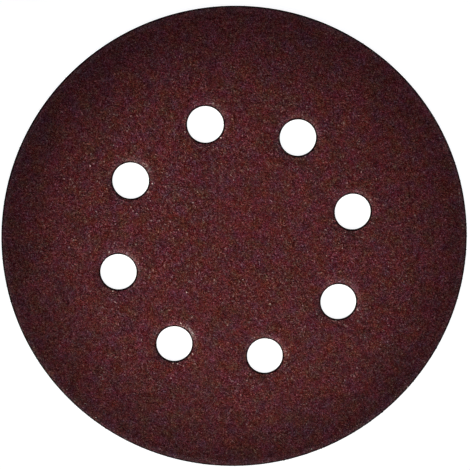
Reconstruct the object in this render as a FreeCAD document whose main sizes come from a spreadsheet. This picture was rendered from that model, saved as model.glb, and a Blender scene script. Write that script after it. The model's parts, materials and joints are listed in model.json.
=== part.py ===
"""Hook and loop sanding disc with a ring of dust holes.

The disc is a laminate, bonded face to face and then die cut in one stroke:

    loop_fabric          knitted fabric with a brushed loop pile, underneath; the pad's hooks grip it
    paper_backing        heavy paper in the middle, which carries the abrasive
    resin_grain_coat     aluminium oxide grain bedded in resin, on top

Frame, in millimetres: the disc lies flat on its loop side, with +Z up out of the abrasive.
The origin is the centre of the loop face, and the first dust hole lies on +X.

The die presses the abrasive down where it cuts, so the coat rolls over at the rim of the disc
and at the mouth of each hole. Each roll is a circular arc that leaves the face at a tangent.
"""

import FreeCAD
import Part
import math
import os
import Sketcher

SIZES = [
    ("disc_diameter", 125.0, "outer diameter of the disc"),
    ("hole_circle_diameter", 65.0, "circle that the centres of the dust holes lie on"),
    ("hole_diameter", 10.0, "diameter of a dust hole"),
    ("hole_count", 8, "dust holes, evenly spaced"),
    ("loop_thickness", 0.70, "loop fabric, from its ground to the tips of its pile"),
    ("paper_thickness", 0.30, "backing paper with its glue"),
    ("coat_thickness", 0.35, "resin with the grain bedded in it"),
    ("roll_width", 1.30, "width of the band beside a cut edge that has rolled over"),
    ("roll_depth", 0.10, "how far the face has dropped at the cut edge"),
]

PAPER_BOTTOM = "sizes.loop_thickness"
COAT_BOTTOM = "sizes.loop_thickness + sizes.paper_thickness"
HOLE_CENTRE = "sizes.hole_circle_diameter / 2"

doc = FreeCAD.newDocument("sanding_disc")


def make_sheet():
    """The spreadsheet of driving dimensions: a row holds the name, the number and the meaning."""
    table = doc.addObject("Spreadsheet::Sheet", "sizes")
    for row, (alias, number, meaning) in enumerate(SIZES, start=1):
        table.set(f"A{row}", alias)
        table.set(f"B{row}", str(number))
        table.set(f"C{row}", meaning)
        table.setAlias(f"B{row}", alias)
    doc.recompute()
    return table


sheet = make_sheet()


def size(alias):
    """The number that the sheet holds under that name."""
    return float(sheet.get(alias))


def make_body(label):
    body = doc.addObject("PartDesign::Body", label)
    body.Label = label
    return body


def origin_feature(body, role):
    """One of the body's own origin planes or axes, such as XY_Plane."""
    return next(feature for feature in body.Origin.OriginFeatures if feature.Role == role)


def make_sketch(body, name, plane, offset):
    """A sketch on an origin plane of the body, moved by the expressions that offset names."""
    sketch = body.newObject("Sketcher::SketchObject", name)
    sketch.AttachmentSupport = (origin_feature(body, plane), [""])
    sketch.MapMode = "FlatFace"
    for direction, expression in offset.items():
        sketch.setExpression(f"AttachmentOffset.Base.{direction}", expression)
    return sketch


def dimension(sketch, kind, *where, bound_to):
    """A dimension between the named points of the sketch, which follows the sheet."""
    number = sketch.addConstraint(Sketcher.Constraint(kind, *where))
    sketch.setExpression(f"Constraints[{number}]", bound_to)


def circle_sketch(body, name, diameter, offset):
    """A circle round the sketch's own origin, parallel to the face of the disc."""
    sketch = make_sketch(body, name, "XY_Plane", offset)
    circle = Part.Circle(FreeCAD.Vector(0, 0, 0), FreeCAD.Vector(0, 0, 1), size(diameter) / 2)
    edge = sketch.addGeometry(circle, False)
    sketch.addConstraint(Sketcher.Constraint("Coincident", edge, 3, -1, 1))
    dimension(sketch, "Diameter", edge, size(diameter), bound_to=f"sizes.{diameter}")
    return sketch


def rolled_edge_sketch(body, name, diameter, side, offset):
    """Half the section of a round cut in the coat, from its axis out to its wall.

    The outline runs out along the underside, up the wall, along the roll and back along the face.
    side is -1 at the rim of the disc, where the roll lies within the wall, and 1 at a hole,
    where it lies beyond it.
    """
    sketch = make_sketch(body, name, "XZ_Plane", offset)
    wall = size(diameter) / 2
    bottom = size("loop_thickness") + size("paper_thickness")
    top = bottom + size("coat_thickness")
    width = size("roll_width")
    depth = size("roll_depth")
    radius = (width**2 + depth**2) / (2 * depth)

    foot = FreeCAD.Vector(wall, bottom, 0)
    lip = FreeCAD.Vector(wall, top - depth, 0)
    crest = FreeCAD.Vector(wall + side * width, top, 0)
    centre = FreeCAD.Vector(crest.x, top - radius, 0)
    halfway = centre + ((lip + crest) / 2 - centre).normalize() * radius
    axis_low = FreeCAD.Vector(0, bottom, 0)
    axis_high = FreeCAD.Vector(0, top, 0)

    underside = sketch.addGeometry(Part.LineSegment(axis_low, foot), False)
    upright = sketch.addGeometry(Part.LineSegment(foot, lip), False)
    roll = sketch.addGeometry(Part.Arc(lip, halfway, crest), False)
    face = sketch.addGeometry(Part.LineSegment(crest, axis_high), False)
    axis = sketch.addGeometry(Part.LineSegment(axis_high, axis_low), False)

    # An arc is stored anticlockwise, so its first point is the lip at the rim, the crest at a hole.
    at_lip, at_crest = (1, 2) if side < 0 else (2, 1)
    sketch.addConstraint(
        [
            Sketcher.Constraint("Coincident", underside, 2, upright, 1),
            Sketcher.Constraint("Coincident", upright, 2, roll, at_lip),
            Sketcher.Constraint("Tangent", roll, at_crest, face, 1),
            Sketcher.Constraint("Coincident", face, 2, axis, 1),
            Sketcher.Constraint("Coincident", axis, 2, underside, 1),
            Sketcher.Constraint("Horizontal", underside),
            Sketcher.Constraint("Vertical", upright),
            Sketcher.Constraint("Horizontal", face),
            Sketcher.Constraint("PointOnObject", underside, 1, -2),
            Sketcher.Constraint("PointOnObject", face, 2, -2),
        ]
    )
    dimension(sketch, "DistanceX", -1, 1, upright, 1, wall, bound_to=f"sizes.{diameter} / 2")
    dimension(sketch, "DistanceY", -1, 1, underside, 1, bottom, bound_to=COAT_BOTTOM)
    dimension(sketch, "DistanceY", underside, 1, face, 2, top - bottom, bound_to="sizes.coat_thickness")
    dimension(sketch, "DistanceY", upright, 2, face, 1, depth, bound_to="sizes.roll_depth")
    across = [(face, 1), (upright, 2)] if side < 0 else [(upright, 2), (face, 1)]
    dimension(sketch, "DistanceX", *across[0], *across[1], width, bound_to="sizes.roll_width")
    return sketch


def ring_of_holes(body, hole, blank, thickness):
    """Repeats the first hole round the disc, and makes sure that every one goes through."""
    ring = body.newObject("PartDesign::PolarPattern", f"{body.Label}_holes")
    ring.Originals = [hole]
    ring.Axis = (origin_feature(body, "Z_Axis"), [""])
    ring.Angle = 360
    ring.setExpression("Occurrences", "sizes.hole_count")
    body.Tip = ring
    doc.recompute()
    bored = ring.Occurrences * math.pi * size("hole_diameter") ** 2 / 4 * size(thickness)
    if blank.Shape.Volume - ring.Shape.Volume < bored * 0.999:
        raise RuntimeError(f"{body.Label}: a dust hole does not go through")


def make_flat_layer(label, thickness, bottom):
    """A layer of even thickness that the die cuts square: the loop fabric or the paper."""
    body = make_body(label)
    blank = body.newObject("PartDesign::Pad", f"{label}_blank")
    blank.Profile = circle_sketch(body, f"{label}_outline", "disc_diameter", {"z": bottom})
    blank.setExpression("Length", f"sizes.{thickness}")
    hole = body.newObject("PartDesign::Pocket", f"{label}_first_hole")
    hole.Profile = circle_sketch(
        body, f"{label}_hole_outline", "hole_diameter", {"x": HOLE_CENTRE, "z": bottom}
    )
    hole.Reversed = True
    hole.setExpression("Length", f"sizes.{thickness}")
    doc.recompute()
    ring_of_holes(body, hole, blank, thickness)
    return body


def make_grain_coat(label):
    """The coat, turned to its rolled rim, then cut by a flared groove at each hole."""
    body = make_body(label)
    blank = body.newObject("PartDesign::Revolution", f"{label}_blank")
    rim = rolled_edge_sketch(body, f"{label}_rim", "disc_diameter", -1, {})
    blank.Profile = rim
    blank.ReferenceAxis = (rim, ["V_Axis"])
    blank.Angle = 360
    hole = body.newObject("PartDesign::Groove", f"{label}_first_hole")
    mouth = rolled_edge_sketch(body, f"{label}_hole_mouth", "hole_diameter", 1, {"x": HOLE_CENTRE})
    hole.Profile = mouth
    hole.ReferenceAxis = (mouth, ["V_Axis"])
    hole.Angle = 360
    doc.recompute()
    ring_of_holes(body, hole, blank, "coat_thickness")
    return body


def save(bodies):
    """Writes each layer to its own file, once nothing in the document has failed."""
    doc.recompute()
    for item in doc.Objects:
        if "Invalid" in item.State or "Error" in item.State:
            raise RuntimeError(f"{item.Name} failed: {item.State}")
        if item.TypeId == "Sketcher::SketchObject" and item.solve() != 0:
            raise RuntimeError(f"{item.Name} could not be solved")
    for body in bodies:
        shape = body.Shape
        if shape.isNull() or not shape.isValid() or len(shape.Solids) != 1:
            raise RuntimeError(f"{body.Label} is not one valid solid")
    os.makedirs("parts", exist_ok=True)
    for body in bodies:
        body.Shape.exportStep(f"parts/{body.Label}.step")
        box = body.Shape.optimalBoundingBox(False)
        print(
            f"{body.Label}: {body.Shape.Volume:.2f} mm3, "
            f"{box.XLength:.2f} x {box.YLength:.2f} mm, z {box.ZMin:.2f} to {box.ZMax:.2f} mm"
        )


save(
    [
        make_flat_layer("loop_fabric", "loop_thickness", "0 mm"),
        make_flat_layer("paper_backing", "paper_thickness", PAPER_BOTTOM),
        make_grain_coat("resin_grain_coat"),
    ]
)
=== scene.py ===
"""Hook and loop sanding disc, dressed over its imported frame.

The disc lies on its loop side, +Z comes up out of the grain and the first dust hole lies on +X.
From the top it is made of grains bedded in resin, a heavy backing paper and a knitted fabric whose
brushed loops hang down. One stroke of the die cut all of them, so every layer has the same plan.

Each operator below makes one layer, and the last one the studio. They are listed in the sidebar,
and main() runs them in order.
"""

import json
import math

import bpy
import numpy as np
from mathutils import Matrix, Vector, geometry

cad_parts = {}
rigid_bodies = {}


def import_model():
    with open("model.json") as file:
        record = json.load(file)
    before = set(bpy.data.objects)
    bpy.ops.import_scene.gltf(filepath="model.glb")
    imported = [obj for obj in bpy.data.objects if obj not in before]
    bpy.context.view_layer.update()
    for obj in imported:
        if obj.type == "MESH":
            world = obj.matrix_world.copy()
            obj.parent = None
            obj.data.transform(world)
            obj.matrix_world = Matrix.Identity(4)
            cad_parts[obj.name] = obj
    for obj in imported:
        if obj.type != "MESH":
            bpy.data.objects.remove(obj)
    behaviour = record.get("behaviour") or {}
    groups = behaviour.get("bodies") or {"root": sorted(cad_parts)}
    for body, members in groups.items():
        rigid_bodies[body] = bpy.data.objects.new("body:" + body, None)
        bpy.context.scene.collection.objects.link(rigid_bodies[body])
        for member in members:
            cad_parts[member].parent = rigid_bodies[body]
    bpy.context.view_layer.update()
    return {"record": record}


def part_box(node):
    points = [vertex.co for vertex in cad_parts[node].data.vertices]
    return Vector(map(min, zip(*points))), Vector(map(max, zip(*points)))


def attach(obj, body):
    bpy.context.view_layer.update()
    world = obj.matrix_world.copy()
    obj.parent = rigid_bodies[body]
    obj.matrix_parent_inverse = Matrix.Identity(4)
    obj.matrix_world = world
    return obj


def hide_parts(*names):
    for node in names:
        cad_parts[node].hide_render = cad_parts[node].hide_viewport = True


bl_info = {
    "name": "Sanding disc",
    "version": (1, 0, 0),
    "blender": (4, 5, 0),
    "location": "3D View > Sidebar > Sanding disc",
    "description": "Dresses a hook and loop sanding disc in grain, paper and loop fabric",
    "category": "Object",
}

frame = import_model()

COAT_LOW, COAT_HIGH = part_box("resin_grain_coat")
PAPER_LOW, PAPER_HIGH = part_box("paper_backing")
FABRIC_LOW, FABRIC_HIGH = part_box("loop_fabric")
HOLES = next(m["dims"] for m in frame["record"]["mounts"] if m["name"] == "dust_holes")

MM = 0.001

# The photograph's side, and how far its frame lies left of and above the lens's axis, in pixels
IMAGE_SIDE = 470
FRAME_LEFT = 0.46
FRAME_UP = 6.46


class DiscSizes(bpy.types.PropertyGroup):
    """Sizes of the disc, in metres."""

    disc_diameter: bpy.props.FloatProperty(
        name="Disc diameter",
        description="Outer diameter, where the die cut",
        default=COAT_HIGH.x - COAT_LOW.x,
        unit="LENGTH",
    )
    hole_circle_diameter: bpy.props.FloatProperty(
        name="Hole circle diameter",
        description="Circle that the centres of the dust holes lie on",
        default=HOLES["pcd_mm"] * MM,
        unit="LENGTH",
    )
    hole_diameter: bpy.props.FloatProperty(
        name="Hole diameter",
        description="Diameter of one dust hole",
        default=2 * HOLES["hole_r_mm"] * MM,
        unit="LENGTH",
    )
    spring_back: bpy.props.FloatProperty(
        name="Spring back",
        description="How far the laminate creeps back into a hole once the punch has left it",
        default=0.15 * MM,
        unit="LENGTH",
    )
    hole_count: bpy.props.IntProperty(
        name="Dust holes",
        description="How many dust holes the ring has",
        default=int(HOLES["count"]),
        min=1,
    )
    roll_width: bpy.props.FloatProperty(
        name="Roll width",
        description="Band beside a cut where the die has pressed the face down",
        default=1.3 * MM,
        unit="LENGTH",
    )
    roll_depth: bpy.props.FloatProperty(
        name="Roll depth",
        description="How far the face has dropped at a cut",
        default=0.10 * MM,
        unit="LENGTH",
    )
    lip_width: bpy.props.FloatProperty(
        name="Lip width",
        description="Band at the very rim where the coat is rounded off",
        default=0.45 * MM,
        unit="LENGTH",
    )
    lip_depth: bpy.props.FloatProperty(
        name="Lip depth",
        description="How much further than the roll the face drops at the very rim",
        default=0.10 * MM,
        unit="LENGTH",
    )
    dish_width: bpy.props.FloatProperty(
        name="Dish width",
        description="Band round a hole where the whole laminate dips towards it",
        default=2.2 * MM,
        unit="LENGTH",
    )
    dish_depth: bpy.props.FloatProperty(
        name="Dish depth",
        description="How far the laminate has dipped at the edge of a hole",
        default=0.55 * MM,
        unit="LENGTH",
    )
    grain_size: bpy.props.FloatProperty(
        name="Grain size",
        description="Width of a middling grain",
        default=0.34 * MM,
        unit="LENGTH",
    )
    grain_stand: bpy.props.FloatProperty(
        name="Grain stand",
        description="How far the tips of the grains stand above the resin",
        default=0.20 * MM,
        unit="LENGTH",
    )
    ground_thickness: bpy.props.FloatProperty(
        name="Ground thickness",
        description="Thickness of the knitted ground that the loops grow from",
        default=0.30 * MM,
        unit="LENGTH",
    )
    loop_width: bpy.props.FloatProperty(
        name="Loop width",
        description="Span of one brushed loop",
        default=0.9 * MM,
        unit="LENGTH",
    )
    yarn_thickness: bpy.props.FloatProperty(
        name="Yarn thickness",
        description="Thickness of the yarn that the loops are made of",
        default=0.13 * MM,
        unit="LENGTH",
    )


class DiscColours(bpy.types.PropertyGroup):
    """Colours of the disc's materials."""

    grain: bpy.props.FloatVectorProperty(
        name="Grain",
        description="Reddish brown of most grains",
        subtype="COLOR",
        default=(0.135, 0.011, 0.013),
        min=0,
        max=1,
    )
    resin: bpy.props.FloatVectorProperty(
        name="Resin",
        description="Cured resin between the grains",
        subtype="COLOR",
        default=(0.080, 0.006, 0.008),
        min=0,
        max=1,
    )
    paper: bpy.props.FloatVectorProperty(
        name="Paper",
        description="Cut edge of the backing paper",
        subtype="COLOR",
        default=(0.16, 0.075, 0.050),
        min=0,
        max=1,
    )
    yarn: bpy.props.FloatVectorProperty(
        name="Yarn",
        description="Undyed yarn of the loops and their ground",
        subtype="COLOR",
        default=(0.74, 0.72, 0.67),
        min=0,
        max=1,
    )


class StudioSettings(bpy.types.PropertyGroup):
    """Camera and light."""

    camera_distance: bpy.props.FloatProperty(
        name="Camera distance",
        description="From the lens to the centre of the disc",
        default=0.360,
        unit="LENGTH",
    )
    lens: bpy.props.FloatProperty(
        name="Focal length",
        description="Focal length on a 36 mm sensor",
        default=102.46,
        unit="CAMERA",
    )
    tip_forward: bpy.props.FloatProperty(
        name="Tip forward",
        description="Turn of the camera about the picture's level axis",
        default=math.radians(8.91),
        unit="ROTATION",
    )
    tip_sideways: bpy.props.FloatProperty(
        name="Tip sideways",
        description="Turn of the camera about the picture's upright axis",
        default=math.radians(2.19),
        unit="ROTATION",
    )
    turn: bpy.props.FloatProperty(
        name="Turn",
        description="Turn of the camera about the disc's axis",
        default=math.radians(104.58),
        unit="ROTATION",
    )
    key_power: bpy.props.FloatProperty(
        name="Key lamp",
        description="Power of the soft spot that falls on the disc at a slant",
        default=27.4,
        unit="POWER",
    )
    fill_power: bpy.props.FloatProperty(
        name="Fill lamp",
        description="Power of the wide lamp that lifts the near rim of the disc",
        default=0.36,
        unit="POWER",
    )
    sky: bpy.props.FloatProperty(
        name="Sky",
        description="Strength of the even light from all round",
        default=0.125,
        min=0,
    )


# Small helpers for objects and nodes


def start_afresh():
    """Leaves edit mode and selects nothing."""
    if bpy.context.object and bpy.context.object.mode != "OBJECT":
        bpy.ops.object.mode_set(mode="OBJECT")
    bpy.ops.object.select_all(action="DESELECT")


def take_up(piece):
    """Makes the piece the only selected and the active one."""
    start_afresh()
    piece.select_set(True)
    bpy.context.view_layer.objects.active = piece


def piece_from(name, places, faces):
    """A new mesh object of these points and faces, selected and active."""
    mesh = bpy.data.meshes.new(name)
    mesh.from_pydata(places.tolist(), [], faces.tolist())
    mesh.update()
    piece = bpy.data.objects.new(name, mesh)
    bpy.context.scene.collection.objects.link(piece)
    take_up(piece)
    return piece


def read_places(mesh):
    """The mesh's points, one row each."""
    flat = np.empty(len(mesh.vertices) * 3)
    mesh.vertices.foreach_get("co", flat)
    return flat.reshape(-1, 3)


def write_places(mesh, places):
    """Moves the mesh's points to these places."""
    mesh.vertices.foreach_set("co", places.ravel())
    mesh.update()


def mark_inside(piece, places):
    """Keeps how far each of the piece's points lies from the nearest cut, for its material."""
    layer = piece.data.attributes.new("inside_by", "FLOAT", "POINT")
    layer.data.foreach_set("value", inside_by(places))


def map_from_above(piece):
    """A UV map that looks straight down on the disc, so the pattern bakes as one picture."""
    mesh = piece.data
    margin = 1.04
    side = bpy.context.scene.disc_sizes.disc_diameter * margin
    corners = np.empty(len(mesh.loops), int)
    mesh.loops.foreach_get("vertex_index", corners)
    flat = read_places(mesh)[corners, :2] / side + 0.5
    while mesh.uv_layers:
        mesh.uv_layers.remove(mesh.uv_layers[0])
    layer = mesh.uv_layers.new(name="OFBake")
    layer.data.foreach_set("uv", flat.ravel())


def finish_piece(piece, node, material):
    """Gives the piece its material and body, and hides the frame part that it stands for."""
    piece.data.materials.clear()
    piece.data.materials.append(material)
    map_from_above(piece)
    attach(piece, "root")
    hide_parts(node)


def live(sockets, name):
    """The socket of that name that the node's settings leave in use."""
    return next(socket for socket in sockets if socket.name == name and socket.enabled)


def add(tree, kind, sockets=None, **settings):
    """Adds a node. A socket takes a number, or the output that feeds it."""
    node = tree.nodes.new(kind)
    for name, setting in settings.items():
        setattr(node, name, setting)
    for name, feed in (sockets or {}).items():
        socket = node.inputs[name] if isinstance(name, int) else live(node.inputs, name)
        if isinstance(feed, bpy.types.NodeSocket):
            tree.links.new(feed, socket)
        else:
            socket.default_value = feed
    return node


def calc(tree, operation, *feeds):
    """The outcome of one sum on numbers or on the outputs of other nodes."""
    return add(tree, "ShaderNodeMath", dict(enumerate(feeds)), operation=operation).outputs[0]


def new_material(name):
    """An empty material with its output node, ready for a shader."""
    material = bpy.data.materials.new(name)
    material.use_nodes = True
    material.node_tree.nodes.clear()
    return material, material.node_tree


def close_material(tree, shader):
    """Gives the shader to the material's surface."""
    add(tree, "ShaderNodeOutputMaterial", {"Surface": shader.outputs[0]})


def ramp(tree, feed, stops):
    """A colour ramp with these stops: where, and which colour."""
    node = add(tree, "ShaderNodeValToRGB", {"Fac": feed})
    elements = node.color_ramp.elements
    elements[0].position, elements[1].position = stops[0][0], stops[-1][0]
    for where, _ in stops[1:-1]:
        elements.new(where)
    for element, (_, colour) in zip(elements, stops):
        element.color = (*colour, 1)
    return node.outputs["Color"]


def blend_colours(tree, blend, first, second):
    """Two colours laid over each other, in full."""
    feeds = {"Factor": 1.0, "A": first, "B": second}
    node = add(tree, "ShaderNodeMix", feeds, data_type="RGBA", blend_type=blend)
    return live(node.outputs, "Result")


def shade(colour, factor):
    """The colour made lighter or darker."""
    return tuple(part * factor for part in colour)


def greys(stops):
    """The stops of a ramp that is given as places and how light it is there."""
    return [(where, (level, level, level)) for where, level in stops]


# The plan that the die cuts

# Between the rows of a lattice of triangles, for points that lie one apart
ROW_STEP = 0.87
# How far the points of a ring, and the loose ones, are moved at random, on the same scale
RING_STIR = 0.15
LOOSE_STIR = 0.3
# Between the loose points on the plain back of a layer
BACK_SPACING = 3.0 * MM
# How much of the press reaches the underside of the loops, the ground, the paper and the coat
GIVE = [0.0, 0.5, 0.8, 1.0]


def cuts():
    """Each round cut of the die, as its centre and radius. The rim comes first."""
    sizes = bpy.context.scene.disc_sizes
    reach = sizes.hole_circle_diameter / 2
    turns = [2 * math.pi * k / sizes.hole_count for k in range(sizes.hole_count)]
    radius = sizes.hole_diameter / 2 - sizes.spring_back
    holes = [(reach * math.cos(t), reach * math.sin(t), radius) for t in turns]
    return [(0, 0, sizes.disc_diameter / 2), *holes]


def inside_by(places):
    """How far each place lies within the material, from the nearest cut."""
    (_, _, rim), *holes = cuts()
    gap = rim - np.hypot(places[:, 0], places[:, 1])
    for x, y, radius in holes:
        gap = np.minimum(gap, np.hypot(places[:, 0] - x, places[:, 1] - y) - radius)
    return gap


def cut_plan(spacing, along, rings, seed):
    """Points and triangles that fill the plan: rings along every cut, then loose points.

    The loose points lie about a spacing apart, and those of the rings lie closer: along.
    """
    rng = np.random.default_rng(seed)
    step = along * ROW_STEP
    groups = []
    edges = []
    taken = 0
    for number, (x, y, radius) in enumerate(cuts()):
        count = round(2 * math.pi * radius / along)
        inward = -1 if number == 0 else 1
        for ring in range(rings):
            turn = (np.arange(count) + ring / 2) * 2 * math.pi / count
            away = radius + inward * ring * step
            places = np.stack([x + away * np.cos(turn), y + away * np.sin(turn)], axis=1)
            if ring == 0:
                edges += [(taken + k, taken + (k + 1) % count) for k in range(count)]
            else:
                places += rng.uniform(-RING_STIR, RING_STIR, places.shape) * along
            groups.append(places)
            taken += count
    row_height = spacing * ROW_STEP
    half = int(cuts()[0][2] / row_height) + 1
    column, row = np.meshgrid(np.arange(-half, half + 1), np.arange(-half, half + 1))
    lattice = np.stack([(column + 0.5 * (row % 2)) * spacing, row * row_height], axis=-1)
    lattice = lattice.reshape(-1, 2)
    lattice += rng.uniform(-LOOSE_STIR, LOOSE_STIR, lattice.shape) * spacing
    groups.append(lattice[inside_by(lattice) > rings * step])
    points = np.concatenate(groups) / MM
    # Output type 0 fills the convex hull of the points with triangles
    corners = [Vector(point) for point in points]
    places, _, faces, *_ = geometry.delaunay_2d_cdt(corners, edges, [], 0, 1e-6)
    places = np.array([(*place, 0) for place in places]) * MM
    faces = np.array(faces)
    middles = places[faces].mean(axis=1)
    return places, faces[inside_by(middles) > 0]


def cut_sheet(name, spacing, along, rings, height, seed):
    """A sheet of triangles with the plan of the disc."""
    places, faces = cut_plan(spacing, along, rings, seed)
    places[:, 2] = height
    return piece_from(name, places, faces)


def cut_layer(name, spacing, along, rings, face_height, back_height, seed):
    """A closed layer of the disc, finely divided on its face and coarsely on its back."""
    layer = cut_sheet(name, spacing, along, rings, face_height, seed)
    bpy.ops.object.mode_set(mode="EDIT")
    bpy.ops.mesh.select_mode(type="EDGE")
    bpy.ops.mesh.select_all(action="DESELECT")
    bpy.ops.mesh.select_non_manifold(
        use_wire=False,
        use_boundary=True,
        use_multi_face=False,
        use_non_contiguous=False,
        use_verts=False,
    )
    drop = (0, 0, (back_height - face_height) / 2)
    for _ in range(2):
        bpy.ops.mesh.extrude_region_move(TRANSFORM_OT_translate={"value": drop})
    back = cut_sheet(f"{name}_back", BACK_SPACING, along, rings, back_height, seed)
    take_up(layer)
    back.select_set(True)
    bpy.ops.object.join()
    bpy.ops.object.mode_set(mode="EDIT")
    bpy.ops.mesh.select_all(action="SELECT")
    bpy.ops.mesh.remove_doubles(threshold=0.001 * MM)
    bpy.ops.mesh.normals_make_consistent(inside=False)
    bpy.ops.object.mode_set(mode="OBJECT")
    return layer


def rolled(places):
    """How far the die has pressed the laminate down at each place, more at a hole than the rim.

    The rim rolls over and ends in a lip. At a hole the laminate dips in a curve, which runs on
    straight from halfway to the cut.
    """
    sizes = bpy.context.scene.disc_sizes
    (_, _, rim), *holes = cuts()
    gap = rim - np.hypot(places[:, 0], places[:, 1])
    drop = sizes.roll_depth * np.clip(1 - gap / sizes.roll_width, 0, 1) ** 2
    drop += sizes.lip_depth * np.clip(1 - gap / sizes.lip_width, 0, 1) ** 2
    for x, y, radius in holes:
        gap = np.hypot(places[:, 0] - x, places[:, 1] - y) - radius
        share = np.clip(1 - gap / sizes.dish_width, 0, 1)
        curve = share**2 * 4 / 3
        straight = share * 4 / 3 - 1 / 3
        drop = np.maximum(drop, sizes.dish_depth * np.where(share < 0.5, curve, straight))
    return drop


def pressed(places):
    """The places once the die has pressed them down. The softer layers below give way less far."""
    ground = FABRIC_HIGH.z - bpy.context.scene.disc_sizes.ground_thickness
    heights = [FABRIC_LOW.z, ground, FABRIC_HIGH.z, PAPER_HIGH.z]
    share = np.interp(places[:, 2], heights, GIVE)
    down = places.copy()
    down[:, 2] -= share * rolled(places)
    return down


# Scattering

# The least that a face looks up, or down, where anything is scattered on it
LEVEL_ENOUGH = 0.4
# Points that are tried on a square with the gap for its side, before those too near go
CROWDING = 3.0


def scatter(carrier, name, kinds, gap, upward, spread, tilt, margin, seed):
    """Stands one of the kinds on each of the points that lie at least a gap apart on the carrier.

    spread is the smallest and largest scale, tilt the most that a copy leans, and margin the
    least way from a cut. Each copy keeps a number of its own, from 0 to 1, in "tint".
    """
    tree = bpy.data.node_groups.new(name, "GeometryNodeTree")
    tree.interface.new_socket("Geometry", in_out="INPUT", socket_type="NodeSocketGeometry")
    tree.interface.new_socket("Geometry", in_out="OUTPUT", socket_type="NodeSocketGeometry")
    source = add(tree, "NodeGroupInput")
    normal = add(tree, "GeometryNodeInputNormal")
    split = add(tree, "ShaderNodeSeparateXYZ", {"Vector": normal.outputs[0]})
    facing = calc(tree, "MULTIPLY", split.outputs["Z"], 1.0 if upward else -1.0)
    level = calc(tree, "GREATER_THAN", facing, LEVEL_ENOUGH)
    points = add(tree, "GeometryNodeDistributePointsOnFaces", distribute_method="POISSON")
    tree.links.new(source.outputs[0], points.inputs["Mesh"])
    tree.links.new(level, points.inputs["Selection"])
    points.inputs["Distance Min"].default_value = gap
    points.inputs["Density Max"].default_value = CROWDING / gap**2
    points.inputs["Seed"].default_value = seed
    clear = add(tree, "GeometryNodeInputNamedAttribute", data_type="FLOAT")
    clear.inputs["Name"].default_value = "inside_by"
    near = calc(tree, "LESS_THAN", live(clear.outputs, "Attribute"), margin)
    kept = add(tree, "GeometryNodeDeleteGeometry", domain="POINT")
    tree.links.new(points.outputs["Points"], kept.inputs["Geometry"])
    tree.links.new(near, kept.inputs["Selection"])
    shelf = add(tree, "GeometryNodeCollectionInfo")
    shelf.inputs["Collection"].default_value = kinds
    shelf.inputs["Separate Children"].default_value = True
    shelf.inputs["Reset Children"].default_value = True
    lean = add(tree, "FunctionNodeRandomValue", data_type="FLOAT_VECTOR")
    live(lean.inputs, "Min").default_value = (-tilt, -tilt, 0)
    live(lean.inputs, "Max").default_value = (tilt, tilt, 2 * math.pi)
    live(lean.inputs, "Seed").default_value = seed + 1
    turned = add(tree, "FunctionNodeRotateRotation", rotation_space="LOCAL")
    tree.links.new(points.outputs["Rotation"], turned.inputs["Rotation"])
    tree.links.new(live(lean.outputs, "Value"), turned.inputs["Rotate By"])
    grown = add(tree, "FunctionNodeRandomValue", data_type="FLOAT_VECTOR")
    live(grown.inputs, "Min").default_value = (spread[0],) * 3
    live(grown.inputs, "Max").default_value = (spread[1],) * 3
    live(grown.inputs, "Seed").default_value = seed + 2
    copies = add(tree, "GeometryNodeInstanceOnPoints")
    copies.inputs["Pick Instance"].default_value = True
    tree.links.new(kept.outputs[0], copies.inputs["Points"])
    tree.links.new(shelf.outputs[0], copies.inputs["Instance"])
    tree.links.new(turned.outputs[0], copies.inputs["Rotation"])
    tree.links.new(live(grown.outputs, "Value"), copies.inputs["Scale"])
    number = add(tree, "FunctionNodeRandomValue", data_type="FLOAT")
    live(number.inputs, "Seed").default_value = seed + 3
    marked = add(tree, "GeometryNodeStoreNamedAttribute", data_type="FLOAT", domain="INSTANCE")
    marked.inputs["Name"].default_value = "tint"
    tree.links.new(copies.outputs[0], marked.inputs["Geometry"])
    tree.links.new(live(number.outputs, "Value"), live(marked.inputs, "Value"))
    real = add(tree, "GeometryNodeRealizeInstances")
    tree.links.new(marked.outputs[0], real.inputs["Geometry"])
    add(tree, "NodeGroupOutput", {0: real.outputs[0]})

    piece = carrier.copy()
    piece.data = carrier.data.copy()
    piece.name = name
    piece.data.name = name
    bpy.context.scene.collection.objects.link(piece)
    take_up(piece)
    modifier = piece.modifiers.new("scatter", "NODES")
    modifier.node_group = tree
    bpy.ops.object.modifier_apply(modifier="scatter")
    for layer in ("id", "OFBake"):
        if layer in piece.data.attributes:
            piece.data.attributes.remove(piece.data.attributes[layer])
    return piece


def shelve(name, members):
    """Puts the samples that a scatter copies into a collection of their own."""
    shelf = bpy.data.collections.new(name)
    for member in members:
        for holder in member.users_collection:
            holder.objects.unlink(member)
        shelf.objects.link(member)
    return shelf


def clear_shelf(shelf):
    """Deletes the samples once they have been copied."""
    for member in list(shelf.objects):
        bpy.data.meshes.remove(member.data)
    bpy.data.collections.remove(shelf)


# Grain

# How light each grain is beside the coat's own colour, from the darkest to the lightest
GRAIN_LEVELS = [(0.0, 0.2), (0.25, 0.52), (0.5, 0.93), (0.75, 1.3), (0.95, 1.64), (1.0, 1.82)]
# How much the grains differ in red, as a power of how much they differ in green and blue
RED_SPREAD = 0.67
# Pale dust on the grains, partly painted glints, from the cleanest to the dustiest
DUST_AND_GLINT_LEVELS = [(0.0, 0.0), (0.35, 0.0), (0.5, 0.005), (0.75, 0.042), (1.0, 0.14)]
DUST_AND_GLINT_COLOUR = (1.0, 0.93, 0.9)
# The two ends of each drift in colour: from purple to red, and from blue to brown
DRIFTS = [
    ("Red", (0.82, 1.05, 1.035), (1.20, 0.955, 0.975)),
    ("Green", (1.0, 0.93, 1.40), (1.0, 1.08, 0.65)),
]
# How many cells and how many drifts in colour the coat has to a metre
CELLS_PER_METRE = 4000.0
DRIFTS_PER_METRE = 300.0
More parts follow.
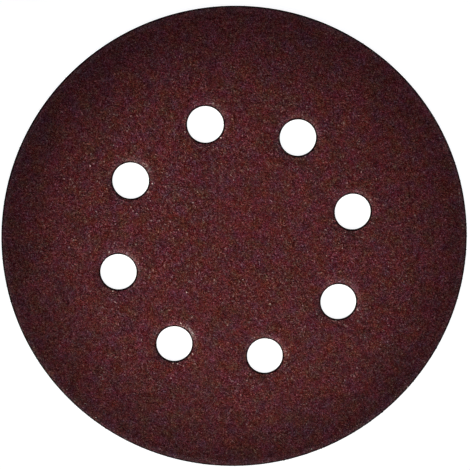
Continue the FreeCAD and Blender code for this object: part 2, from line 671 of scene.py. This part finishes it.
# Painted shade by the way to the nearest cut: a dark line on the cut, then a little lighter
PAINTED_CUT_SHADE = [(0.285 * MM, 0.03), (0.45 * MM, 1.08), (1.05 * MM, 1.08), (1.5 * MM, 1.0)]
# The coat's gloss by the same way: dull on the cut, and bright where the face bends down
LUSTRE = [(0.28 * MM, 0.03), (0.46 * MM, 0.6), (1.2 * MM, 0.6), (1.9 * MM, 0.22)]


def crystal(name, size, seed):
    """One grain: a three sided splinter, its corners pulled about, that lies tip up or base up."""
    base_up = seed % 2
    lift = 0.2 * size
    pull = 0.22 * size
    start_afresh()
    bpy.ops.mesh.primitive_cone_add(
        vertices=3,
        radius1=0.62 * size,
        radius2=0,
        depth=1.1 * size,
        location=(0, 0, -lift if base_up else lift),
        rotation=(math.pi * base_up, 0, 0),
    )
    grain = bpy.context.object
    grain.name = name
    bpy.ops.object.transform_apply(location=True, rotation=True, scale=True)
    rng = np.random.default_rng(seed)
    places = read_places(grain.data)
    write_places(grain.data, places + rng.uniform(-pull, pull, places.shape))
    return grain


def shuffled(tree, number, factor):
    """Another number from 0 to 1 that is as good as random, made from the first."""
    return calc(tree, "FRACT", calc(tree, "MULTIPLY", number, factor))


def grain_shade(tone, level):
    """The coat's colour on one grain: its red varies less than its green and blue."""
    red, green, blue = tone
    return (red * level**RED_SPREAD, green * level, blue * level)


def by_cut(tree, stops):
    """How light the ramp of these stops is, by the way from a place to the nearest cut."""
    inside = add(tree, "ShaderNodeAttribute", attribute_name="inside_by").outputs["Fac"]
    reach = stops[-1][0]
    share = add(tree, "ShaderNodeMapRange", {"Value": inside, "From Max": reach})
    shares = [(way / reach, level) for way, level in stops]
    return ramp(tree, share.outputs["Result"], greys(shares))


def size_coat(tree, spot, number, cell, tone):
    """Colour of the size coat over grain or resin.

    The number gives each grain a tone, with the cell its pale dust and painted glints. The colour
    drifts between red, purple and brown, and every cut has a painted dark line of shade.
    """
    shades = [(where, grain_shade(tone, level)) for where, level in GRAIN_LEVELS]
    colour = ramp(tree, number, shades)
    dust_and_glint_share = add(tree, "ShaderNodeMix", {"Factor": 0.4, "A": number, "B": cell})
    dust_and_glint_stops = [(where, shade(DUST_AND_GLINT_COLOUR, level)) for where, level in DUST_AND_GLINT_LEVELS]
    dust_and_glint = ramp(tree, live(dust_and_glint_share.outputs, "Result"), dust_and_glint_stops)
    # Pale dust with painted glints, added to the coat's colour
    colour = blend_colours(tree, "ADD", colour, dust_and_glint)
    drift = add(
        tree,
        "ShaderNodeTexNoise",
        {"Vector": spot, "Scale": DRIFTS_PER_METRE, "Detail": 4.0, "Roughness": 0.65},
    )
    drifts = add(tree, "ShaderNodeSeparateColor", {"Color": drift.outputs["Color"]})
    for channel, low, high in DRIFTS:
        cast = ramp(tree, drifts.outputs[channel], [(0.36, low), (0.5, (1, 1, 1)), (0.64, high)])
        colour = blend_colours(tree, "MULTIPLY", colour, cast)
    # Painted shade: a dark line along every cut, a little lighter just inside it
    return blend_colours(tree, "MULTIPLY", colour, by_cut(tree, PAINTED_CUT_SHADE))


def coated_material(name, tone, on_grain):
    """Grain or resin under its size coat, in cells a quarter of a millimetre wide.

    Each cell has random numbers of its own. On grain they are added to the number that each
    grain keeps in "tint".
    """
    material, tree = new_material(name)
    spot = add(tree, "ShaderNodeTexCoord").outputs["Object"]
    cells = add(tree, "ShaderNodeTexVoronoi", {"Vector": spot, "Scale": CELLS_PER_METRE})
    parts = add(tree, "ShaderNodeSeparateColor", {"Color": cells.outputs["Color"]})
    number = parts.outputs["Red"]
    if on_grain:
        tint = add(tree, "ShaderNodeAttribute", attribute_name="tint").outputs["Fac"]
        number = calc(tree, "FRACT", calc(tree, "ADD", number, tint))
    colour = size_coat(tree, spot, number, parts.outputs["Green"], tone)
    gloss = calc(tree, "MULTIPLY", by_cut(tree, LUSTRE), 1.0 if on_grain else 0.4)
    worn = add(
        tree,
        "ShaderNodeMapRange",
        {"Value": shuffled(tree, number, 29.7), "To Min": 0.2, "To Max": 0.5},
    )
    bump = add(
        tree,
        "ShaderNodeBump",
        {"Strength": 0.6, "Distance": 0.06 * MM, "Height": cells.outputs["Distance"]},
    )
    bump.invert = True
    shader = add(
        tree,
        "ShaderNodeBsdfPrincipled",
        {
            "Base Color": colour,
            "Roughness": worn.outputs["Result"],
            "Specular IOR Level": gloss,
            "Normal": bump.outputs["Normal"],
        },
    )
    close_material(tree, shader)
    return material


class SANDINGDISC_OT_resin_bed(bpy.types.Operator):
    """Pours the bed of resin, with its face rolled over at every cut"""

    bl_idname = "sanding_disc.resin_bed"
    bl_label = "Resin bed"

    def execute(self, context):
        sizes = context.scene.disc_sizes
        bed = cut_layer(
            "resin_bed",
            spacing=0.95 * MM,
            along=0.55 * MM,
            rings=3,
            face_height=COAT_HIGH.z,
            back_height=COAT_LOW.z,
            seed=11,
        )
        # The points of the face, and those halfway down each cut
        places = read_places(bed.data)
        near = 0.01 * MM
        face = places[:, 2] > COAT_HIGH.z - near
        middle = (places[:, 2] > COAT_LOW.z + near) & ~face
        rng = np.random.default_rng(12)
        unevenness = 0.022 * MM
        wobble = rng.normal(0, unevenness, len(places))
        places[face, 2] -= (sizes.grain_stand + wobble)[face]
        places = pressed(places)
        tear = 0.03 * MM
        outward = places[:, :2].copy()
        length = np.hypot(outward[:, 0], outward[:, 1])[:, None]
        nudge = rng.uniform(-tear, 0.0, len(places))[:, None] * outward / length
        places[middle, :2] += nudge[middle]
        write_places(bed.data, places)
        mark_inside(bed, places)
        bpy.ops.object.shade_smooth_by_angle(angle=math.radians(50))
        material = coated_material("cured_resin", context.scene.disc_colours.resin, False)
        finish_piece(bed, "resin_grain_coat", material)
        return {"FINISHED"}


class SANDINGDISC_OT_abrasive_grain(bpy.types.Operator):
    """Scatters the grains over the resin, from coarse to fine"""

    bl_idname = "sanding_disc.abrasive_grain"
    bl_label = "Abrasive grain"

    def execute(self, context):
        sizes = context.scene.disc_sizes
        bed = bpy.data.objects.get("resin_bed")
        if bed is None:
            raise RuntimeError("the grain needs its resin bed first")
        material = coated_material("oxide_grain", context.scene.disc_colours.grain, True)
        batches = [("coarse_grain", 1.15, 20), ("middle_grain", 1.0, 40), ("fine_grain", 0.85, 60)]
        for name, scale, seed in batches:
            size = sizes.grain_size * scale
            kinds = shelve(name, [crystal(f"{name}_{k}", size, seed + k) for k in range(10)])
            piece = scatter(
                bed,
                name,
                kinds,
                gap=0.365 * MM,
                upward=True,
                spread=(0.75, 1.2),
                tilt=math.radians(35),
                margin=0.12 * MM,
                seed=seed,
            )
            clear_shelf(kinds)
            places = read_places(piece.data)
            places[:, 2] = np.minimum(places[:, 2], COAT_HIGH.z)
            write_places(piece.data, places)
            piece.data.shade_flat()
            finish_piece(piece, "resin_grain_coat", material)
        return {"FINISHED"}


# Paper and fabric

# How many fibres the paper has to a metre along its face, and how many times that through it
FIBRES_PER_METRE = 2600.0
LAYING = 9.0
# How many filaments and how many stitches the fabric has to a metre
FILAMENTS_PER_METRE = 5000.0
STITCHES_PER_METRE = 2300.0


def paper_material():
    """Heavy backing paper: its cut edge shows layers of fibre soaked with resin."""
    colours = bpy.context.scene.disc_colours
    material, tree = new_material("backing_paper")
    spot = add(tree, "ShaderNodeTexCoord").outputs["Object"]
    laid = add(tree, "ShaderNodeMapping", {"Vector": spot, "Scale": (1.0, 1.0, LAYING)})
    fibre = add(
        tree,
        "ShaderNodeTexNoise",
        {"Vector": laid.outputs[0], "Scale": FIBRES_PER_METRE, "Detail": 5.0, "Roughness": 0.7},
    )
    dark, light = shade(colours.paper, 0.45), shade(colours.paper, 1.8)
    colour = ramp(tree, fibre.outputs["Fac"], [(0.3, dark), (0.5, colours.paper), (0.72, light)])
    bump = add(
        tree,
        "ShaderNodeBump",
        {"Strength": 0.6, "Distance": 0.03 * MM, "Height": fibre.outputs["Fac"]},
    )
    shader = add(
        tree,
        "ShaderNodeBsdfPrincipled",
        {
            "Base Color": colour,
            "Roughness": 0.85,
            "Specular IOR Level": 0.3,
            "Normal": bump.outputs["Normal"],
        },
    )
    close_material(tree, shader)
    return material


class SANDINGDISC_OT_backing_paper(bpy.types.Operator):
    """Cuts the backing paper, which the die presses down at every cut"""

    bl_idname = "sanding_disc.backing_paper"
    bl_label = "Backing paper"

    def execute(self, context):
        paper = cut_layer(
            "backing_paper",
            spacing=3.0 * MM,
            along=0.75 * MM,
            rings=3,
            face_height=PAPER_HIGH.z,
            back_height=PAPER_LOW.z,
            seed=21,
        )
        write_places(paper.data, pressed(read_places(paper.data)))
        finish_piece(paper, "paper_backing", paper_material())
        return {"FINISHED"}


def yarn_material(name, knitted):
    """Undyed filament yarn. The ground shows its stitches, with painted shade between them."""
    colours = bpy.context.scene.disc_colours
    material, tree = new_material(name)
    spot = add(tree, "ShaderNodeTexCoord").outputs["Object"]
    fibres = add(
        tree,
        "ShaderNodeTexNoise",
        {"Vector": spot, "Scale": FILAMENTS_PER_METRE, "Detail": 3.0},
    )
    dark, light = shade(colours.yarn, 0.75), shade(colours.yarn, 1.1)
    colour = ramp(tree, fibres.outputs["Fac"], [(0.3, dark), (0.5, colours.yarn), (0.7, light)])
    height = fibres.outputs["Fac"]
    if knitted:
        stitches = add(tree, "ShaderNodeTexVoronoi", {"Vector": spot, "Scale": STITCHES_PER_METRE})
        height = ramp(tree, stitches.outputs["Distance"], greys([(0.0, 1.0), (0.8, 0.0)]))
        # Painted shade in the gaps between the stitches
        painted_gap_shade = ramp(tree, height, greys([(0.1, 0.45), (0.5, 0.85), (0.9, 1.0)]))
        colour = blend_colours(tree, "MULTIPLY", colour, painted_gap_shade)
    bump = add(
        tree,
        "ShaderNodeBump",
        {"Strength": 0.7, "Distance": (0.12 if knitted else 0.03) * MM, "Height": height},
    )
    shader = add(
        tree,
        "ShaderNodeBsdfPrincipled",
        {
            "Base Color": colour,
            "Roughness": 0.8,
            "Specular IOR Level": 0.3,
            "Sheen Weight": 0.3,
            "Normal": bump.outputs["Normal"],
        },
    )
    close_material(tree, shader)
    return material


class SANDINGDISC_OT_loop_fabric(bpy.types.Operator):
    """Lays the knitted ground of the fabric and hangs its brushed loops from it"""

    bl_idname = "sanding_disc.loop_fabric"
    bl_label = "Loop fabric"

    def loop_sample(self, name, sizes, seed):
        """Half a ring of yarn that stands on the ground, flattened and leaning to one side."""
        rng = np.random.default_rng(seed)
        lean_across = rng.uniform(-1.5, 1.5)
        lean_along = rng.uniform(-0.8, 0.8)
        flattening = 0.75
        start_afresh()
        bpy.ops.mesh.primitive_torus_add(
            major_segments=8,
            minor_segments=3,
            major_radius=sizes.loop_width / 2,
            minor_radius=sizes.yarn_thickness / 2,
            rotation=(math.pi / 2, 0, 0),
        )
        loop = bpy.context.object
        loop.name = name
        bpy.ops.object.transform_apply(location=True, rotation=True, scale=True)
        bpy.ops.object.mode_set(mode="EDIT")
        bpy.ops.mesh.select_all(action="SELECT")
        just_below = -0.0001 * MM
        bpy.ops.mesh.bisect(
            plane_co=(0, 0, just_below),
            plane_no=(0, 0, 1),
            use_fill=True,
            clear_inner=True,
        )
        bpy.ops.mesh.select_all(action="SELECT")
        bpy.ops.mesh.normals_make_consistent(inside=False)
        bpy.ops.object.mode_set(mode="OBJECT")
        places = read_places(loop.data)
        places[:, 1] += places[:, 2] * lean_across
        places[:, 0] += places[:, 2] * lean_along
        places[:, 2] *= flattening
        write_places(loop.data, places)
        return loop

    def tucked_in(self, pile, margin):
        """The places of the loops, with those that hang over a cut moved back inside it.

        The points of a loop are found by their tint, which is the same all over it.
        """
        places = read_places(pile.data)
        tint = np.empty(len(places))
        pile.data.attributes["tint"].data.foreach_get("value", tint)
        _, loop, count = np.unique(tint, return_inverse=True, return_counts=True)
        least = np.full(len(count), np.inf)
        np.minimum.at(least, loop, inside_by(places))
        middle = np.stack([np.bincount(loop, places[:, axis]) / count for axis in (0, 1)], axis=1)
        step = 0.1 * MM
        ways = np.array([(step, 0), (0, step)])
        slope = [inside_by(middle + way) - inside_by(middle - way) for way in ways]
        inward = np.stack(slope, axis=1) / (2 * step)
        shift = np.clip(margin - least, 0, None)[:, None] * inward
        places[:, :2] += shift[loop]
        return places

    def execute(self, context):
        sizes = context.scene.disc_sizes
        ground = cut_layer(
            "loop_ground",
            spacing=2.5 * MM,
            along=0.7 * MM,
            rings=3,
            face_height=FABRIC_HIGH.z - sizes.ground_thickness,
            back_height=FABRIC_HIGH.z,
            seed=31,
        )
        places = read_places(ground.data)
        mark_inside(ground, places)
        for name, seed in (("loop_pile_a", 70), ("loop_pile_b", 90)):
            samples = [self.loop_sample(f"{name}_{k}", sizes, seed + k) for k in range(8)]
            kinds = shelve(name, samples)
            pile = scatter(
                ground,
                name,
                kinds,
                gap=0.98 * MM,
                upward=False,
                spread=(0.7, 1.15),
                tilt=math.radians(12),
                margin=0.15 * MM,
                seed=seed,
            )
            clear_shelf(kinds)
            hanging = pressed(self.tucked_in(pile, 0.05 * MM))
            hanging[:, 2] = np.clip(hanging[:, 2], FABRIC_LOW.z, FABRIC_HIGH.z)
            write_places(pile.data, hanging)
            pile.data.shade_smooth()
            finish_piece(pile, "loop_fabric", yarn_material("brushed_loops", False))
        write_places(ground.data, pressed(places))
        finish_piece(ground, "loop_fabric", yarn_material("knitted_ground", True))
        return {"FINISHED"}


# Floor, lamps and camera

# How white the floor looks to the camera, and the grey that takes its shadows
FLOOR_GLOW = 0.955
FLOOR_GREY = 0.3
SKY_COLOUR = (0.88, 1.0, 1.55, 1)
KEY_COLOUR = (1.0, 0.965, 0.85)
# The key lamp: how far away it hangs, how high over the floor in degrees, and the round it lights
KEY_AWAY = 0.7
KEY_RISE = 33
KEY_REACH = 66.5 * MM


def floor_material():
    """White seamless floor: the camera sees it near white, and it still takes the shadow."""
    material, tree = new_material("seamless_floor")
    path = add(tree, "ShaderNodeLightPath").outputs
    seen = calc(tree, "MAXIMUM", path["Is Camera Ray"], path["Is Glossy Ray"])
    seen = calc(tree, "MAXIMUM", seen, path["Is Transmission Ray"])
    strength = calc(tree, "MULTIPLY", seen, FLOOR_GLOW)
    glow = add(tree, "ShaderNodeEmission", {"Color": (1, 1, 1, 1), "Strength": strength})
    paint = add(tree, "ShaderNodeBsdfDiffuse", {"Color": (FLOOR_GREY, FLOOR_GREY, FLOOR_GREY, 1)})
    both = add(tree, "ShaderNodeAddShader", {0: glow.outputs[0], 1: paint.outputs[0]})
    close_material(tree, both)
    return material


class SANDINGDISC_OT_studio(bpy.types.Operator):
    """Lays the pale floor, hangs the lamps and sets up the camera"""

    bl_idname = "sanding_disc.studio"
    bl_label = "Studio"

    def execute(self, context):
        self.lay_floor()
        self.light_sky(context)
        self.hang_lamps(context)
        self.set_camera(context)
        context.scene.view_settings.view_transform = "Standard"
        return {"FINISHED"}

    def lay_floor(self):
        """A floor so wide that the camera never sees its end."""
        start_afresh()
        bpy.ops.mesh.primitive_plane_add(size=40)
        floor = bpy.context.object
        floor.name = "studio_floor"
        floor.data.materials.append(floor_material())

    def light_sky(self, context):
        """Even light from all round. The camera sees it as white, and so does gloss low down."""
        world = bpy.data.worlds.new("studio")
        context.scene.world = world
        world.use_nodes = True
        tree = world.node_tree
        tree.nodes.clear()
        path = add(tree, "ShaderNodeLightPath").outputs
        direction = add(tree, "ShaderNodeTexCoord").outputs["Generated"]
        height = add(tree, "ShaderNodeSeparateXYZ", {"Vector": direction}).outputs["Z"]
        low = add(
            tree,
            "ShaderNodeMapRange",
            {"Value": height, "From Min": 0.1, "From Max": 0.5, "To Min": 1.0, "To Max": 0.0},
        )
        mirrored = calc(tree, "MAXIMUM", path["Is Glossy Ray"], path["Is Transmission Ray"])
        mirrored = calc(tree, "MULTIPLY", mirrored, low.outputs["Result"])
        seen = calc(tree, "MAXIMUM", path["Is Camera Ray"], mirrored)
        white = add(tree, "ShaderNodeBackground", {"Color": (1, 1, 1, 1), "Strength": 1.0})
        sky = context.scene.disc_studio.sky
        plain = add(tree, "ShaderNodeBackground", {"Color": SKY_COLOUR, "Strength": sky})
        shaders = {0: seen, 1: plain.outputs[0], 2: white.outputs[0]}
        mix = add(tree, "ShaderNodeMixShader", shaders)
        add(tree, "ShaderNodeOutputWorld", {"Surface": mix.outputs[0]})

    def hang_lamps(self, context):
        """A slant key spot, its beam flattened to fall as a round, and a wide fill lamp."""
        studio = context.scene.disc_studio
        spot = bpy.data.lights.new("key_spot", "SPOT")
        spot.energy = studio.key_power
        spot.color = KEY_COLOUR
        spot.spot_size = 2 * math.atan(KEY_REACH / KEY_AWAY)
        spot.spot_blend = 0.68
        spot.shadow_soft_size = 0.012
        aim = self.in_picture(context, angle=265, length=3.0 * MM)
        key = self.hang(context, spot, aim, away=KEY_AWAY, across=230, rise=KEY_RISE)
        key.scale.y = math.sin(math.radians(KEY_RISE))
        fill = bpy.data.lights.new("fill_softbox", "AREA")
        fill.energy = studio.fill_power
        fill.size = 0.3
        self.hang(context, fill, Vector((0, 0, 0)), away=0.4, across=285, rise=30)

    def in_picture(self, context, angle, length):
        """A step along the floor that points this way, in degrees, in the camera's picture."""
        across = math.radians(angle) - context.scene.disc_studio.turn
        return Vector((length * math.cos(across), length * math.sin(across), 0))

    def hang(self, context, light, aim, away, across, rise):
        """Hangs a lamp that looks at its aim from this far away.

        In degrees, across is the way to it in the picture and rise its height over the floor.
        """
        lamp = bpy.data.objects.new(light.name, light)
        context.scene.collection.objects.link(lamp)
        slope = math.radians(rise)
        step = self.in_picture(context, across, away * math.cos(slope))
        step.z = away * math.sin(slope)
        lamp.location = aim + step
        lamp.rotation_euler = (-step).to_track_quat("-Z", "Y").to_euler()
        return lamp

    def set_camera(self, context):
        """The photograph's viewpoint: almost over the disc, with a slight tip."""
        studio = context.scene.disc_studio
        looking = (
            Matrix.Rotation(studio.tip_sideways, 3, "Y")
            @ Matrix.Rotation(studio.tip_forward, 3, "X")
            @ Matrix.Rotation(studio.turn, 3, "Z")
        )
        lens = bpy.data.cameras.new("camera")
        lens.lens = studio.lens
        lens.sensor_width = 36
        lens.shift_x = -FRAME_LEFT / IMAGE_SIDE
        lens.shift_y = FRAME_UP / IMAGE_SIDE
        lens.clip_start = 0.01
        lens.clip_end = 100
        camera = bpy.data.objects.new("camera", lens)
        context.scene.collection.objects.link(camera)
        placed = looking.transposed().to_4x4()
        placed.translation = looking.transposed() @ Vector((0, 0, studio.camera_distance))
        camera.matrix_world = placed
        context.scene.camera = camera


# Sidebar and registration


class VIEW3D_PT_sanding_disc(bpy.types.Panel):
    """Lists the layers of the disc and its studio"""

    bl_label = "Sanding disc"
    bl_space_type = "VIEW_3D"
    bl_region_type = "UI"
    bl_category = "Sanding disc"

    def draw(self, context):
        for operator in OPERATORS:
            self.layout.operator(operator.bl_idname)
        for group in ("disc_sizes", "disc_colours", "disc_studio"):
            settings = getattr(context.scene, group)
            box = self.layout.box()
            for name in settings.bl_rna.properties.keys():
                if name not in ("rna_type", "name"):
                    box.prop(settings, name)


OPERATORS = [
    SANDINGDISC_OT_resin_bed,
    SANDINGDISC_OT_abrasive_grain,
    SANDINGDISC_OT_backing_paper,
    SANDINGDISC_OT_loop_fabric,
    SANDINGDISC_OT_studio,
]

CLASSES = [DiscSizes, DiscColours, StudioSettings, *OPERATORS, VIEW3D_PT_sanding_disc]


def register():
    for kind in CLASSES:
        bpy.utils.register_class(kind)
    bpy.types.Scene.disc_sizes = bpy.props.PointerProperty(type=DiscSizes)
    bpy.types.Scene.disc_colours = bpy.props.PointerProperty(type=DiscColours)
    bpy.types.Scene.disc_studio = bpy.props.PointerProperty(type=StudioSettings)


def unregister():
    del bpy.types.Scene.disc_studio
    del bpy.types.Scene.disc_colours
    del bpy.types.Scene.disc_sizes
    for kind in reversed(CLASSES):
        bpy.utils.unregister_class(kind)


def main():
    """Makes the disc and its studio."""
    register()
    bpy.ops.sanding_disc.resin_bed()
    bpy.ops.sanding_disc.abrasive_grain()
    bpy.ops.sanding_disc.backing_paper()
    bpy.ops.sanding_disc.loop_fabric()
    bpy.ops.sanding_disc.studio()


if __name__ == "__main__":
    main()
